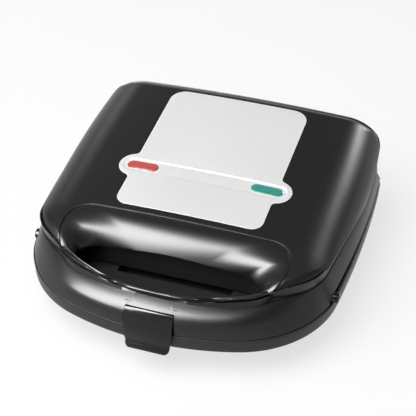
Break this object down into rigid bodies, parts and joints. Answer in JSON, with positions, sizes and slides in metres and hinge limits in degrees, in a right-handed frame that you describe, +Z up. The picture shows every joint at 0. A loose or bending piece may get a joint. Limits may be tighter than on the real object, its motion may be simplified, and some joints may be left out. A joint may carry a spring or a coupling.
{
  "type": "sandwich toaster",
  "caption": "Clam-shell sandwich toaster with a back-hinged lid, bowed front, oval hand pocket behind a grip bar, swinging front latch and non-stick plates with triangular pockets.",
  "frame": {"origin": "on the table, under the middle of the whole shut toaster's bounding box", "axes": "+X to the toaster's right, +Y to its back (the hinge), +Z up"},
  "size_m": [0.243, 0.249, 0.0887],
  "materials": {
    "shell": "fine-textured black plastic",
    "cover": "smooth dark plastic",
    "gloss_black": "polished black plastic",
    "rubber": "matt black rubber",
    "plaque": "satin",
    "red_lens": "ribbed translucent red",
    "green_lens": "ribbed translucent green",
    "plate_coat": "dark non-stick coating on cast metal",
    "heater_sheath": "heat-tinted sheath",
    "sheet_aluminium": "mill finish",
    "plated_steel": "zinc plated",
    "ceramic": "glazed ceramic",
    "lead_sleeve": "braided glass-fibre sleeve",
    "fuse_case": "drawn case",
    "lamp_glass": "clear neon bulb",
    "bracket_plastic": "natural heat-proof plastic"
  },
  "bodies": {
    "base": {"lower_housing": "shell", "base_cover": "cover", "base_screws": "plated_steel", "rubber_feet": "rubber", "lower_grip_cover": "cover", "lower_grip_screws": "plated_steel", "lower_plate": "plate_coat", "lower_plate_screws": "plated_steel", "lower_element": "heater_sheath", "lower_reflector": "sheet_aluminium", "lower_clamp": "plated_steel", "lower_clamp_screws": "plated_steel", "thermostat": "ceramic", "thermal_fuse": "fuse_case", "terminal_block": "ceramic", "lower_wiring": "lead_sleeve", "cord_gland": "rubber", "locating_studs": "gloss_black", "hinge_pins": "plated_steel"},
    "lid": {"upper_housing": "shell", "upper_grip_cover": "cover", "upper_grip_screws": "plated_steel", "top_plaque": "plaque", "red_lens": "red_lens", "green_lens": "green_lens", "lamp_bracket": "bracket_plastic", "neon_lamps": "lamp_glass", "upper_plate": "plate_coat", "upper_plate_screws": "plated_steel", "upper_element": "heater_sheath", "upper_reflector": "sheet_aluminium", "upper_clamp": "plated_steel", "upper_clamp_screws": "plated_steel", "upper_fuse": "fuse_case", "upper_wiring": "lead_sleeve", "latch_pin": "plated_steel"},
    "latch": {"latch": "gloss_black"}
  },
  "joints": [
    {"name": "lid_hinge", "type": "hinge", "parent": "base", "child": "lid", "pos_m": [0, 0.119, 0.036], "axis": [-1, 0, 0], "range_deg": [0, 100]},
    {"name": "latch_pivot", "type": "hinge", "parent": "lid", "child": "latch", "pos_m": [0, -0.112, 0.047], "axis": [-1, 0, 0], "range_deg": [0, 55]}
  ]
}
